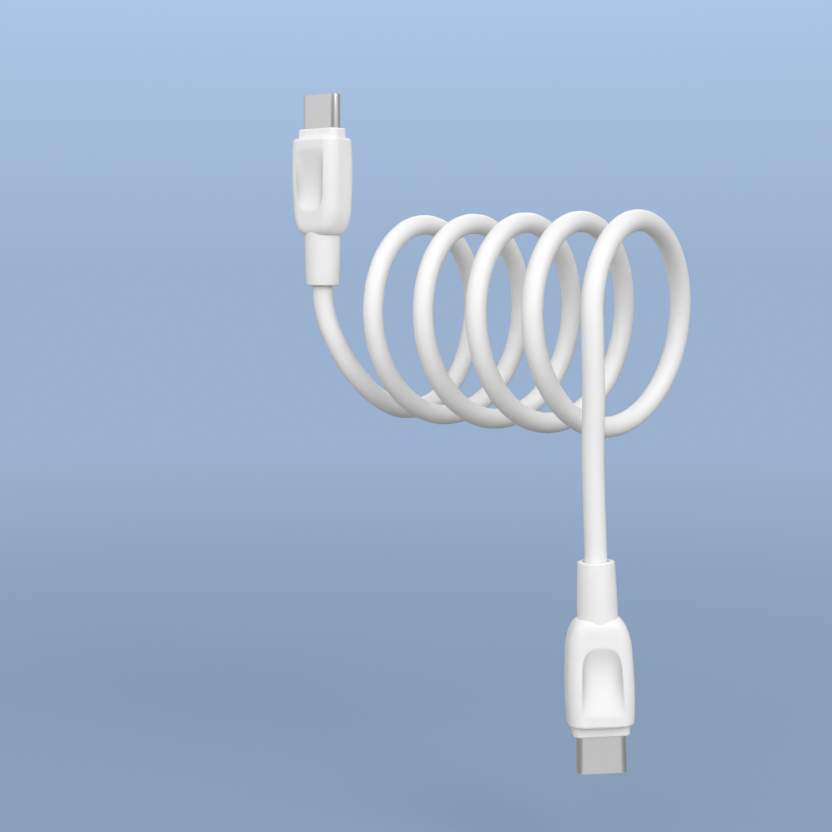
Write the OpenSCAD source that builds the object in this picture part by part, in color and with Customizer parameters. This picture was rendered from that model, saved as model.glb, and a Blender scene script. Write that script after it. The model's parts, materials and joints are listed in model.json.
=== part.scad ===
// Charging cable with a flat reversible plug on both ends, wound in open loops round a rod.
// All sizes are millimetres. The origin is on the rod's axis, at the middle of the loops.
// X runs along the rod and Z is up. The loops hang on the rod, which is not part of the cable.
// Each plug is built along its own Z axis, from the end of its strain relief (0) to its tip,
// with its width along X and its thickness along Y, and is then put in its place.

/* [Cord] */
// Outer diameter of the cord's jacket
cord_d = 3.7; // [3.2:0.1:4.2]
// Outer diameter of the power wire and the ground wire
power_wire_d = 1.0; // [0.8:0.05:1.1]
// Outer diameter of the configuration wire and the data wires
signal_wire_d = 0.7; // [0.5:0.05:0.8]
// Diameter of the bare wire tips
wire_tip_d = 0.5; // [0.3:0.05:0.6]

/* [Loops] */
// Diameter of the rod that the loops go round
rod_d = 30.6; // [24:0.1:36]
// Space between the rod and the loops
rod_gap = 0.75; // [0.2:0.05:2]
// Full loops, to which the end adds half a loop
loop_count = 4; // [2:1:6]
// Distance along the rod from one loop to the next
loop_pitch = 12.05; // [8:0.05:14]

/* [Plug places] */
// Cord exit of the upper plug, along the rod
upper_plug_x = -30.75; // [-36:0.05:-28]
// Cord exit of the upper plug, in front of the rod's axis
upper_plug_y = -18.1; // [-24:0.05:-16]
// Cord exit of the upper plug, above the rod's axis
upper_plug_z = 6.5; // [5:0.1:12]
// Turn of the upper plug about its own length
upper_plug_turn = 2; // [-180:1:180]
// Cord exit of the lower plug, along the rod
lower_plug_x = 31.3; // [26:0.05:36]
// Cord exit of the lower plug, in front of the rod's axis
lower_plug_y = -17.9; // [-24:0.05:-16]
// Cord exit of the lower plug, above the rod's axis
lower_plug_z = -37.8; // [-60:0.1:-37]
// Turn of the lower plug about its own length
lower_plug_turn = -44; // [-180:1:180]
// Lean of the lower plug away from straight down
lower_plug_lean = 2.65; // [-10:0.05:10]

/* [Cover] */
// Wall between the inner mould and the cover's narrow sides, at its belly
cover_side_wall = 0.8; // [0.6:0.05:1.8]
// Wall between the inner mould and the cover's broad faces, at its belly
cover_broad_wall = 1.5; // [1.3:0.05:2]
// Length of the cover
cover_len = 17.7; // [16.8:0.1:24]
// Radius of the cover's long corners
cover_corner_r = 2.3; // [1.2:0.1:2.6]
// Length of the rounded shoulder at the cord's side
shoulder_len = 6.0; // [4:0.1:8]
// How gently the sides of the shoulder set in, 1 for a quarter of an ellipse
shoulder_ease = 1.4; // [1:0.1:1.8]
// Length over which the broad faces round off at the cord's side
face_round_len = 1.9; // [0.8:0.1:4]
// How far the shoulder's end stands out past the sleeve on each narrow side
shoulder_lip = 0.15; // [0.1:0.05:0.8]
// How far the sleeve stands out of the shoulder's end on each broad face
saddle_depth = 0.7; // [0.2:0.05:1]
// How much narrower each side is at the shoulder than at the belly
belly_rise = 0.2; // [0:0.05:0.4]
// Radius of the edge at the plug's side
front_edge_r = 0.4; // [0.1:0.05:0.8]

/* [Finger scoop] */
// Width of the scoop
scoop_w = 7.2; // [5:0.1:7.6]
// Length of the scoop
scoop_len = 11.5; // [9:0.1:12]
// Depth of the scoop at its round end
scoop_depth = 1.1; // [0.4:0.05:1.2]
// How far the sloping wall reaches in at the top of the round end
scoop_wall_run = 2.0; // [0.6:0.05:2.4]
// How far the sloping walls reach in from the sides, beside the round end
scoop_side_run = 1.2; // [0.5:0.05:1.5]
// Length of the round end
scoop_arch_len = 3.8; // [2.5:0.1:5]
// Plain length between the scoop and the front edge
scoop_front_gap = 1.9; // [1:0.1:3]

/* [Inner mould and nose] */
// Wall between the plug shell and the nose's narrow sides
nose_side_wall = 0.575; // [0.5:0.025:0.8]
// Wall between the plug shell and the nose's broad faces
nose_broad_wall = 0.9; // [0.85:0.05:1]
// How far the nose stands out of the cover
nose_len = 1.8; // [0.8:0.1:2.5]
// Radius of the nose's long corners
nose_corner_r = 1.3; // [0.8:0.05:1.4]
// Radius of the nose's front edge
nose_edge_r = 0.35; // [0.1:0.05:0.5]
// Thickness of the inner mould's rear wall
mould_rear_wall = 0.5; // [0.3:0.05:0.8]
// How much narrower the inner mould is on each side at its rear
mould_rear_taper = 1.2; // [0.6:0.1:1.6]
// Length over which the inner mould grows to its full width
mould_taper_len = 2.5; // [1.5:0.1:2.7]

/* [Strain relief] */
// Length of the sleeve outside the cover
relief_len = 9.3; // [7:0.1:14]
// Diameter of the sleeve at the cord's end
relief_end_d = 6.1; // [5.4:0.1:6.4]
// Diameter of the sleeve at the cover
relief_d = 6.6; // [6.4:0.05:6.8]
// Length over which the sleeve tapers
relief_taper_len = 7.0; // [3:0.1:7]
// Radius of the sleeve's end rim
relief_rim_r = 0.3; // [0.1:0.05:0.5]
// Depth of the socket in the cover
relief_socket = 1.2; // [0.8:0.1:2]
// How far the flange that holds the sleeve in the cover stands out past the sleeve
flange_lip = 0.6; // [0.3:0.05:0.7]
// Wall between the cord and the flange's broad faces
flange_wall = 0.2; // [0.1:0.05:0.3]
// Length of the flange along the plug
flange_len = 1.2; // [0.8:0.1:1.6]
// Radial space in the flared mouth round the cord
mouth_gap = 0.3; // [0.1:0.05:0.5]
// Depth of the flared mouth
mouth_len = 1.2; // [0.5:0.1:2]

/* [Plug shell] */
// Width of the metal shell
shell_w = 8.25; // [8.15:0.05:8.3]
// Thickness of the metal shell
shell_t = 2.4; // [2.35:0.05:2.45]
// Wall of the metal shell
shell_wall = 0.3; // [0.2:0.05:0.3]
// Length of the shell outside the nose
shell_out = 6.2; // [6.2:0.05:7]
// Length of the shell inside the nose
shell_in = 5.0; // [4.2:0.1:6]
// Length of the shell that the shield can grips
shell_grip = 2.5; // [1.5:0.1:3]
// Diameter of the holes that lock the shell into the mould
anchor_hole_d = 0.8; // [0.4:0.05:1]

/* [Contacts] */
// Distance from contact to contact
contact_pitch = 0.5; // [0.46:0.01:0.52]
// Width of a contact
contact_w = 0.25; // [0.18:0.01:0.28]
// Thickness of a contact
contact_t = 0.15; // [0.1:0.01:0.17]
// How far the contact's bend stands into the slot
contact_bend = 0.08; // [0.04:0.01:0.15]
// Length of the contact tail on the card
contact_tail_len = 1.4; // [0.8:0.1:2]
// Side room for the latch arms, from the slot for the tongue to the plug shell
latch_room = 0.425; // [0.4:0.005:0.5]
// Height of the slot for the tongue
slot_h = 1.0; // [0.96:0.02:1.04]
// Height of the slot at its mouth
slot_mouth_h = 1.3; // [1.2:0.02:1.34]
// Length of the slot's mouth
slot_mouth_len = 1.95; // [1.85:0.05:2.1]
// Depth of the slot
slot_len = 6.15; // [5.8:0.05:6.3]
// How far the housing lies behind the shell's tip
housing_recess = 0.25; // [0.1:0.05:0.5]
// Length of the housing
housing_len = 10.75; // [10.5:0.05:11]
// Thickness of the latch plate
latch_plate_t = 0.3; // [0.2:0.02:0.32]
// Height of the latch arms
latch_arm_h = 0.56; // [0.4:0.02:0.6]
// Thickness of the latch arms
latch_arm_t = 0.24; // [0.16:0.02:0.26]
// How far the latch hooks stand into the slot
latch_hook = 0.32; // [0.2:0.02:0.4]
// Thickness of the ground springs
ground_spring_t = 0.08; // [0.05:0.01:0.1]
// Width of a ground spring's finger
ground_finger_w = 0.5; // [0.3:0.05:0.6]

/* [Card and shield can] */
// Width of the circuit card
card_w = 7.0; // [6.4:0.1:7.8]
// Thickness of the circuit card
card_t = 0.8; // [0.7:0.02:0.84]
// Length of the wires from the braid to the circuit card
wire_run = 2.15; // [1.2:0.05:3]
// Side of the square chip
chip_side = 2.0; // [1.2:0.1:2.6]
// Height of the chip
chip_h = 0.55; // [0.3:0.05:0.7]
// Wall of the shield can
can_wall = 0.2; // [0.12:0.02:0.22]
// Thickness of the shield can over both halves
can_t = 3.2; // [3:0.05:3.3]
// Radius of the shield can's long corners
can_corner_r = 0.5; // [0.3:0.05:0.6]
// Length of the braid beyond the jacket
braid_len = 1.95; // [1.6:0.05:2.4]
// Wall of the crimp sleeve
crimp_wall = 0.2; // [0.1:0.02:0.24]

/* [Clearances] */
// Space between two pieces that are pressed together
press_gap = 0.02; // [0.01:0.005:0.03]
// Space between two pieces that are pushed together
push_gap = 0.05; // [0.03:0.01:0.07]
// Space round a sprung piece in its groove
spring_gap = 0.02; // [0.01:0.005:0.03]

/* [Hidden] */
$fn = 48;
eps = 0.01;
rod_axis = [1, 0, 0];

// Widths and thicknesses of what holds the plug shell, from the inside to the outside.
nose_w = shell_w + 2 * nose_side_wall;
nose_t = shell_t + 2 * nose_broad_wall;
cavity_w = nose_w + 2 * push_gap;
cavity_t = nose_t + 2 * push_gap;
cavity_corner_r = nose_corner_r + push_gap;
cover_w = cavity_w + 2 * cover_side_wall;
cover_t = cavity_t + 2 * cover_broad_wall;
shoulder_w = relief_d + 2 * shoulder_lip;
shoulder_t = relief_d - 2 * saddle_depth;
flange_w = relief_d + 2 * flange_lip;
flange_t = cord_d + 2 * flange_wall;

// Stations along a plug, from the strain relief's end to the tip.
can_clear = 0.3;
cover_rear_z = relief_len;
cover_front_z = cover_rear_z + cover_len;
nose_front_z = cover_front_z + nose_len;
tip_z = nose_front_z + shell_out;
flange_rear_z = cover_rear_z + relief_socket;
flange_front_z = flange_rear_z + flange_len;
mould_rear_z = flange_front_z + push_gap;
jacket_end_z = mould_rear_z + mould_rear_wall;
braid_end_z = jacket_end_z + braid_len;
can_rear_z = braid_end_z + can_clear;
shell_rear_z = nose_front_z - shell_in;
can_front_z = shell_rear_z + shell_grip;
housing_front_z = tip_z - housing_recess;
housing_rear_z = housing_front_z - housing_len;
slot_rear_z = housing_front_z - slot_len;
slot_mouth_z = housing_front_z - slot_mouth_len;
card_front_z = housing_rear_z - push_gap;
card_rear_z = braid_end_z + wire_run;
card_len = card_front_z - card_rear_z;

// Cover: rings of its loft, finest at the shoulder and at the front edge.
corner_steps = 8;
shoulder_steps = 8;
belly_steps = 4;
edge_steps = 3;
shoulder_corner_r = 2.55;
shoulder_z = cover_rear_z + shoulder_len;
belly_z = cover_front_z - cover_len / 3;
edge_z = cover_front_z - front_edge_r;

// Scoop: its outline lies on the broad face, and its floor is a plane that runs out at the front.
scoop_front_z = cover_front_z - scoop_front_gap;
scoop_rear_z = scoop_front_z - scoop_len;
scoop_arch_z = scoop_rear_z + scoop_arch_len;
scoop_arch_steps = 14;
scoop_side_steps = 3;

// Insides of the shell, the housing and the shield can.
shell_in_w = shell_w - 2 * shell_wall;
shell_in_t = shell_t - 2 * shell_wall;
housing_w = shell_in_w - 2 * push_gap;
housing_t = shell_in_t - 2 * push_gap;
slot_w = shell_in_w - 2 * latch_room;
can_in_w = shell_w + 2 * push_gap;
can_w = can_in_w + 2 * can_wall;
can_in_t = can_t - 2 * can_wall;
can_neck_t = shell_t + 2 * push_gap;
can_seam = 0.04;
can_neck_share = 0.35;
crimp_inset_share = 0.12;

// Contacts: which of the twelve places in each row are filled in a power and data cable.
row_count = 12;
top_row = [1, 4, 5, 6, 7, 9, 12];
bottom_row = [1, 4, 5, 9, 12];
contact_body_run = 0.8;
contact_bend_back = 1.3;
contact_tip_back = 0.35;
contact_tip_rise = 0.06;
contact_bend_z = slot_mouth_z - contact_bend_back;
contact_tip_z = slot_mouth_z - contact_tip_back;
groove_w = contact_w + 2 * spring_gap;
groove_low_y = card_t / 2 - spring_gap;
groove_high_y = card_t / 2 + contact_t + contact_tip_rise + 2 * spring_gap;

// Latch plate: it lies at mid height, and its arms run forward beside the slot.
latch_inset = 1.5;
latch_plate_len = 2.5;
latch_hook_len = 0.9;
latch_hook_flat = 0.2;
latch_arm_gap = 0.06;
latch_front_room = 0.3;
mouth_overlap = 0.1;
latch_rear_z = housing_rear_z + latch_inset;
latch_front_z = slot_mouth_z + mouth_overlap;
latch_arm_x = slot_w / 2 + latch_arm_gap;
latch_channel_h = latch_arm_h + 3 * spring_gap;

// Ground springs: each lies in a shallow seat on the housing, its fingers bent into the mouth.
spring_seat_y = housing_t / 2 - ground_spring_t;
spring_plate_w = 5.8;
spring_plate_len = 3.9;
finger_z = slot_mouth_z + mouth_overlap;
finger_len = 1.1;
finger_dip = 0.2;
finger_dip_share = 0.65;
finger_root = 0.3;
finger_places = [-2.4, -0.8, 0.8, 2.4];

// Card: notches in its sides, and places of the small parts, counted from its middle.
card_notch_d = 0.9;
card_notch_share = 0.55;
small_part_w = 0.6;
small_part_len = 1.2;
small_part_h = 0.4;
upper_small_parts = [[-2.3, 0.5], [2.3, 0.5]];
lower_small_parts = [[-1.8, -0.1], [0.9, 0.3]];

// Wires: they leave the braid in a ring round the middle one and spread to the card's end.
wire_spacing = 0.03;
braid_wall = 0.05;
wire_ring_r = (power_wire_d + signal_wire_d) / 2 + wire_spacing;
braid_d = 2 * wire_ring_r + power_wire_d + 2 * braid_wall;
wire_end_z = card_rear_z - push_gap;
wire_tip_y = card_t / 2 + wire_tip_d / 2;
wire_tip_len = 1.4;
wire_lead = 0.3;
wire_sides = 10;
function ring_place(a) = wire_ring_r * [cos(a), sin(a)];
power_start = ring_place(164);
ground_start = ring_place(344);
config_start = ring_place(75);
data_plus_start = ring_place(255);
data_minus_start = [0, 0];
power_end = [-2.6, wire_tip_y];
ground_end = [2.6, -wire_tip_y];
config_end = [2.4, wire_tip_y];
data_plus_end = [-0.9, -wire_tip_y];
data_minus_end = [0.3, wire_tip_y];
wire_ends = [power_end, ground_end, config_end, data_plus_end, data_minus_end];

// Loops: a helix about the rod's axis from the back of the rod to the front, clockwise
// when seen along X. Its angle is 0 at the top, 90 at the front and 270 at the back.
loop_r = rod_d / 2 + rod_gap + cord_d / 2;
loop_steps = 24;
loop_sides = 6;
loop_start_angle = -90;
loop_turns = loop_count + 0.5;
loop_start_x = -loop_pitch * loop_count / 2;
ring_total = loop_turns * loop_steps;
run_sides = 8;

// Cord exits of the plugs, and the way in which the cord runs there.
upper_exit = [upper_plug_x, upper_plug_y, upper_plug_z];
lower_exit = [lower_plug_x, lower_plug_y, lower_plug_z];
upper_exit_way = [0, 0, -1];
lower_exit_way = [sin(lower_plug_lean), 0, -cos(lower_plug_lean)];

// Route from the upper plug down the front and under the rod to its back.
upper_route = [
    [-30.6, -17.9, 2.4],
    [-28.2, -16.8, -4.7],
    [-25.8, -13.6, -10.9],
    [-24.6, -7.5, -15.6],
    [-24.5, -0.6, -17.3],
    [-24.6, 7.0, -16.1],
    [-24.6, 13.7, -11.5]
];
// Route from the front of the rod down to the lower plug.
lower_route = [
    [30.5, -17.9, -11.5],
    [30.45, -17.9, -19.5],
    [30.75, -17.9, -27.5],
    [31.1, -17.9, -34.0]
];

ENDS = ["upper", "lower"];
PIECES = [
    "cover", "strain_relief", "inner_mould", "plug_shell", "contact_housing", "contacts",
    "latch_plate", "ground_springs", "paddle_card", "card_parts", "shield_can_top",
    "shield_can_bottom", "crimp_sleeve", "shield_braid", "cord_end", "power_wire",
    "ground_wire", "config_wire", "data_plus_wire", "data_minus_wire", "wire_tips"
];

// ---- Vectors, outlines and skins ----

function unit(v) = v / norm(v);

// Outline of a rectangle with round corners, from its half width and half thickness.
function rounded_outline(hw, ht, r) = [
    for (quarter = [0:3])
    for (step = [0:corner_steps])
    let (
        a = 90 * quarter + 90 * step / corner_steps,
        side_x = (quarter == 0 || quarter == 3) ? 1 : -1,
        side_y = quarter < 2 ? 1 : -1
    )
    [side_x * (hw - r) + r * cos(a), side_y * (ht - r) + r * sin(a)]
];

// The same outline as a ring at a height.
function outline_ring(z, hw, ht, r) = [for (p = rounded_outline(hw, ht, r)) [p[0], p[1], z]];

// Ring of a tube round a point, square to the way that the tube runs there.
function tube_ring(p, way, sides, d) =
    let (
        out = unit(cross(way, rod_axis)),
        across = cross(way, out)
    )
    [
        for (i = [0:sides - 1])
        let (a = 360 * i / sides)
        p + d / 2 * (out * cos(a) + across * sin(a))
    ];

// One closed skin over a list of rings that all have the same number of points.
module skin(rings) {
    n = len(rings[0]);
    last = (len(rings) - 1) * n;
    sides = [
        for (k = [0:len(rings) - 2])
        for (i = [0:n - 1])
        let (
            a = k * n + i,
            b = k * n + (i + 1) % n
        )
        each [[a, a + n, b], [b, a + n, b + n]]
    ];
    polyhedron(
        points = [for (ring = rings) each ring],
        faces = concat([[for (i = [0:n - 1]) i]], sides, [[for (i = [n - 1:-1:0]) last + i]])
    );
}

// Exact rectangle with round corners, flat or as a bar along Z.
module rounded_rect(w, t, r) {
    square([w - 2 * r, t], center = true);
    square([w, t - 2 * r], center = true);
    for (x = [-1, 1])
        for (y = [-1, 1])
            translate([x * (w / 2 - r), y * (t / 2 - r)])
                circle(r);
}

module rounded_bar(w, t, r, z0, z1) {
    translate([0, 0, z0])
        linear_extrude(z1 - z0)
            rounded_rect(w, t, r);
}

// Bar with full round ends.
module oval_bar(w, t, z0, z1) {
    translate([0, 0, z0])
        linear_extrude(z1 - z0) {
            square([w - t, t], center = true);
            for (x = [-1, 1])
                translate([x * (w - t) / 2, 0])
                    circle(t / 2);
        }
}

// Block between two corners, whichever way round they are given.
module block(a, b) {
    low = [for (i = [0:2]) min(a[i], b[i])];
    high = [for (i = [0:2]) max(a[i], b[i])];
    translate(low)
        cube(high - low);
}

// ---- Cover ----

// How far a side is drawn in at a height, from the belly to both ends.
function belly_draw(z) =
    belly_rise * pow((max(z, shoulder_z) - belly_z) / (belly_z - shoulder_z), 2);

// Growth of the broad faces at a height, from 0 at the shoulder's end to 1 where they run flat.
function face_grown(z) =
    let (rest = 1 - min((z - cover_rear_z) / face_round_len, 1))
    sqrt(1 - rest * rest);

// Ring of the cover at a height, with the shoulder grown from 0 to 1 and the edge drawn in.
function cover_ring(z, grown, draw) =
    let (
        full_w = cover_w / 2 - belly_draw(z) - draw,
        full_t = cover_t / 2 - belly_draw(z) / 2 - draw,
        hw = shoulder_w / 2 + (full_w - shoulder_w / 2) * grown,
        ht = shoulder_t / 2 + (full_t - shoulder_t / 2) * face_grown(z),
        r = shoulder_corner_r + (cover_corner_r - shoulder_corner_r) * grown
    )
    outline_ring(z, hw, ht, min(r, ht - eps));

cover_rings = concat(
    [
        for (i = [0:shoulder_steps])
        let (a = 90 * i / shoulder_steps)
        cover_ring(cover_rear_z + shoulder_len * (1 - cos(a)), pow(sin(a), shoulder_ease), 0)
    ],
    [
        for (i = [1:belly_steps])
        cover_ring(shoulder_z + (edge_z - shoulder_z) * i / belly_steps, 1, 0)
    ],
    [
        for (i = [1:edge_steps])
        let (a = 90 * i / edge_steps)
        cover_ring(edge_z + front_edge_r * sin(a), 1, front_edge_r * (1 - cos(a)))
    ]
);

// Outline of the scoop: across the front, down one side, round the arch and up the other.
scoop_outline = concat(
    [
        for (i = [0:scoop_side_steps - 1])
        [-scoop_w / 2, scoop_front_z + (scoop_arch_z - scoop_front_z) * i / scoop_side_steps]
    ],
    [
        for (i = [0:scoop_arch_steps])
        let (a = 180 + 180 * i / scoop_arch_steps)
        [cos(a) * scoop_w / 2, scoop_arch_z + sin(a) * scoop_arch_len]
    ],
    [
        for (i = [scoop_side_steps - 1:-1:0])
        [scoop_w / 2, scoop_front_z + (scoop_arch_z - scoop_front_z) * i / scoop_side_steps]
    ]
);

// Depth of the scoop's floor at a height, as a share of its full depth.
function scoop_share(z) = (scoop_front_z - z) / scoop_len;

// Way in from a point of the outline, square to the sides and towards the arch's centre,
// as long as the wall's reach there.
function scoop_inward(p) =
    let (way = p[1] >= scoop_arch_z ? [-sign(p[0]), 0] : unit([-p[0], scoop_arch_z - p[1]]))
    [way[0] * scoop_side_run, way[1] * scoop_wall_run];

// Cutter for one scoop, on the face that looks along +Y. Each wall keeps its own slope.
module scoop_cutter() {
    face_y = cover_t / 2;
    above = 1;
    floor_ring = [
        for (p = scoop_outline)
        let (q = p + scoop_inward(p) * scoop_share(p[1]))
        [q[0], face_y - scoop_depth * scoop_share(q[1]), q[1]]
    ];
    outer_ring = [
        for (p = scoop_outline)
        let (q = p - scoop_inward(p) * above / scoop_depth)
        [q[0], face_y + above, q[1]]
    ];
    skin([outer_ring, floor_ring]);
}

// Ring of the cavity at a height, narrower on each side by a taper.
function cavity_ring(z, taper) =
    outline_ring(z, cavity_w / 2 - taper, cavity_t / 2, cavity_corner_r);

module cover() {
    color("white")
        difference() {
            skin(cover_rings);
            // Socket for the strain relief's sleeve.
            translate([0, 0, cover_rear_z - 1])
                cylinder(d = relief_d + 2 * press_gap, h = relief_socket + 1);
            // Pocket for its flange.
            rounded_bar(
                flange_w + 2 * push_gap, flange_t + 2 * push_gap, cavity_corner_r,
                flange_rear_z - eps, mould_rear_z
            );
            // Cavity for the inner mould.
            skin([
                cavity_ring(mould_rear_z - push_gap, mould_rear_taper),
                cavity_ring(mould_rear_z + mould_taper_len - push_gap, 0),
                cavity_ring(tip_z, 0)
            ]);
            // Scoops on both broad faces.
            scoop_cutter();
            rotate([0, 0, 180])
                scoop_cutter();
        }
}

// ---- Strain relief ----

module strain_relief() {
    end_r = relief_end_d / 2;
    mouth_r = cord_d / 2 + mouth_gap;
    bore_r = cord_d / 2 + press_gap;
    rim_share = 1 - sin(45);
    color("white")
        difference() {
            union() {
                rotate_extrude()
                    polygon([
                        [0, 0],
                        [end_r - relief_rim_r, 0],
                        [end_r - relief_rim_r * rim_share, relief_rim_r * rim_share],
                        [end_r, relief_rim_r],
                        [relief_d / 2, relief_taper_len],
                        [relief_d / 2, flange_rear_z],
                        [0, flange_rear_z]
                    ]);
                rounded_bar(
                    flange_w, flange_t, nose_corner_r, flange_rear_z, flange_front_z
                );
            }
            translate([0, 0, -1])
                cylinder(r = bore_r, h = flange_front_z + 2);
            translate([0, 0, -1])
                cylinder(r = mouth_r, h = mouth_len + 1);
        }
}

// ---- Inner mould ----

mould_edge_z = nose_front_z - nose_edge_r;
mould_rings = concat(
    [
        outline_ring(mould_rear_z, nose_w / 2 - mould_rear_taper, nose_t / 2, nose_corner_r),
        outline_ring(mould_rear_z + mould_taper_len, nose_w / 2, nose_t / 2, nose_corner_r)
    ],
    [
        for (i = [0:edge_steps])
        let (
            a = 90 * i / edge_steps,
            draw = nose_edge_r * (1 - cos(a))
        )
        outline_ring(
            mould_edge_z + nose_edge_r * sin(a),
            nose_w / 2 - draw, nose_t / 2 - draw, nose_corner_r - draw
        )
    ]
);

module inner_mould() {
    color("whitesmoke")
        difference() {
            skin(mould_rings);
            // Hole for the cord's jacket.
            translate([0, 0, mould_rear_z - 1])
                cylinder(d = cord_d + 2 * press_gap, h = mould_rear_wall + 1 + eps);
            // Room for the crimp sleeve.
            translate([0, 0, jacket_end_z])
                cylinder(d = braid_d + 2 * crimp_wall + 4 * push_gap, h = braid_len + 1);
            // Room for the shield can, and behind it for the wires.
            rounded_bar(
                can_w + 2 * press_gap, can_t + 2 * press_gap, can_corner_r + press_gap,
                can_rear_z - push_gap, can_front_z + push_gap
            );
            // Hole for the plug shell.
            oval_bar(shell_w + 2 * press_gap, shell_t + 2 * press_gap, can_front_z, tip_z);
        }
}

// ---- Plug shell, housing and contacts ----

module plug_shell() {
    color("silver")
        difference() {
            oval_bar(shell_w, shell_t, shell_rear_z, tip_z);
            oval_bar(shell_in_w, shell_in_t, shell_rear_z - 1, tip_z + 1);
            // Holes that lock it into the inner mould.
            for (x = [-1, 1])
                translate([x * shell_w / 4, 0, (can_front_z + nose_front_z) / 2])
                    rotate([90, 0, 0])
                        cylinder(d = anchor_hole_d, h = shell_t + 2, center = true);
        }
}

function contact_x(place) = (place - (row_count + 1) / 2) * contact_pitch;

// Groove for one contact, above the mid plane.
module contact_groove(place) {
    x = contact_x(place);
    block(
        [x - groove_w / 2, groove_low_y, housing_rear_z - 1],
        [x + groove_w / 2, groove_high_y, slot_mouth_z + eps]
    );
}

// Window for one finger of a ground spring, above the mid plane.
module finger_window(x) {
    half_w = ground_finger_w / 2 + 2 * spring_gap;
    block(
        [x - half_w, slot_mouth_h / 2 - mouth_overlap, finger_z - 2 * spring_gap],
        [x + half_w, housing_t, finger_z + finger_len + 2 * spring_gap]
    );
}

module contact_housing() {
    half_slot = slot_w / 2;
    seat_w = spring_plate_w / 2 + spring_gap;
    color([0.12, 0.12, 0.13])
        difference() {
            oval_bar(housing_w, housing_t, housing_rear_z, housing_front_z);
            // Slot for the tongue, and its wider mouth.
            block([-half_slot, -slot_h / 2, slot_rear_z], [half_slot, slot_h / 2, tip_z]);
            block(
                [-half_slot, -slot_mouth_h / 2, slot_mouth_z],
                [half_slot, slot_mouth_h / 2, tip_z]
            );
            for (place = top_row)
                contact_groove(place);
            mirror([0, 1, 0])
                for (place = bottom_row)
                    contact_groove(place);
            // Seats and windows of the ground springs.
            for (side = [0, 1])
                mirror([0, side, 0]) {
                    block(
                        [-seat_w, spring_seat_y - spring_gap, finger_z - spring_plate_len - spring_gap],
                        [seat_w, housing_t, finger_z + spring_gap]
                    );
                    for (x = finger_places)
                        finger_window(x);
                }
            // Room for the latch plate and its arms.
            block(
                [-housing_w, -latch_plate_t / 2 - spring_gap, latch_rear_z - spring_gap],
                [housing_w, latch_plate_t / 2 + spring_gap, latch_rear_z + latch_plate_len + spring_gap]
            );
            for (side = [0, 1])
                mirror([side, 0, 0])
                    block(
                        [half_slot - eps, -latch_channel_h / 2, latch_rear_z - spring_gap],
                        [housing_w, latch_channel_h / 2, latch_front_z + latch_front_room]
                    );
        }
}

// One contact above the mid plane: tail on the card, straight body, bend and lifted tip.
module contact(place) {
    y = card_t / 2;
    bend_y = y - contact_bend;
    tip_y = y + contact_tip_rise;
    body_end_z = slot_rear_z + contact_body_run;
    tail_z = housing_rear_z - contact_tail_len;
    translate([contact_x(place) - contact_w / 2, 0, 0])
        rotate([90, 0, 90])
            linear_extrude(contact_w)
                polygon([
                    [y, tail_z],
                    [y + contact_t, tail_z],
                    [y + contact_t, body_end_z],
                    [bend_y + contact_t, contact_bend_z],
                    [tip_y + contact_t, contact_tip_z],
                    [tip_y, contact_tip_z],
                    [bend_y, contact_bend_z],
                    [y, body_end_z]
                ]);
}

module contacts() {
    color("gold") {
        for (place = top_row)
            contact(place);
        mirror([0, 1, 0])
            for (place = bottom_row)
                contact(place);
    }
}

module latch_plate() {
    arm_h = latch_arm_h;
    plate_x = latch_arm_x + latch_arm_t;
    hook_x = slot_w / 2 - latch_hook;
    color("lightsteelblue") {
        block(
            [-plate_x, -latch_plate_t / 2, latch_rear_z],
            [plate_x, latch_plate_t / 2, latch_rear_z + latch_plate_len]
        );
        for (side = [0, 1])
            mirror([side, 0, 0])
                rotate([90, 0, 0])
                    translate([0, 0, -arm_h / 2])
                        linear_extrude(arm_h)
                            polygon([
                                [latch_arm_x, latch_rear_z],
                                [plate_x, latch_rear_z],
                                [plate_x, latch_front_z],
                                [latch_arm_x, latch_front_z],
                                [hook_x, latch_front_z - (latch_hook_len - latch_hook_flat) / 2],
                                [hook_x, latch_front_z - (latch_hook_len + latch_hook_flat) / 2],
                                [latch_arm_x, latch_front_z - latch_hook_len]
                            ]);
    }
}

// One finger of a ground spring above the mid plane.
module ground_finger(x) {
    low = spring_seat_y;
    high = spring_seat_y + ground_spring_t;
    dip_z = finger_z + finger_len * finger_dip_share;
    translate([x - ground_finger_w / 2, 0, 0])
        rotate([90, 0, 90])
            linear_extrude(ground_finger_w)
                polygon([
                    [low, finger_z - finger_root],
                    [high, finger_z - finger_root],
                    [high, finger_z],
                    [high - finger_dip, dip_z],
                    [high - finger_dip / 2, finger_z + finger_len],
                    [low - finger_dip / 2, finger_z + finger_len],
                    [low - finger_dip, dip_z],
                    [low, finger_z]
                ]);
}

module ground_springs() {
    color("gainsboro")
        for (side = [0, 1])
            mirror([0, side, 0]) {
                block(
                    [-spring_plate_w / 2, spring_seat_y, finger_z - spring_plate_len],
                    [spring_plate_w / 2, spring_seat_y + ground_spring_t, finger_z]
                );
                for (x = finger_places)
                    ground_finger(x);
            }
}

// ---- Card ----

module paddle_card() {
    color("darkgreen")
        difference() {
            block([-card_w / 2, -card_t / 2, card_rear_z], [card_w / 2, card_t / 2, card_front_z]);
            // Half round notches in both sides.
            for (x = [-1, 1])
                translate([x * card_w / 2, 0, card_rear_z + card_len * card_notch_share])
                    rotate([90, 0, 0])
                        cylinder(d = card_notch_d, h = card_t + 2, center = true);
        }
}

// One part that sits on the card's upper face, given by its middle and its size.
module card_part(middle, size) {
    x = middle[0];
    z = card_rear_z + card_len / 2 + middle[1];
    block(
        [x - size[0] / 2, card_t / 2, z - size[1] / 2],
        [x + size[0] / 2, card_t / 2 + size[2], z + size[1] / 2]
    );
}

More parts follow.
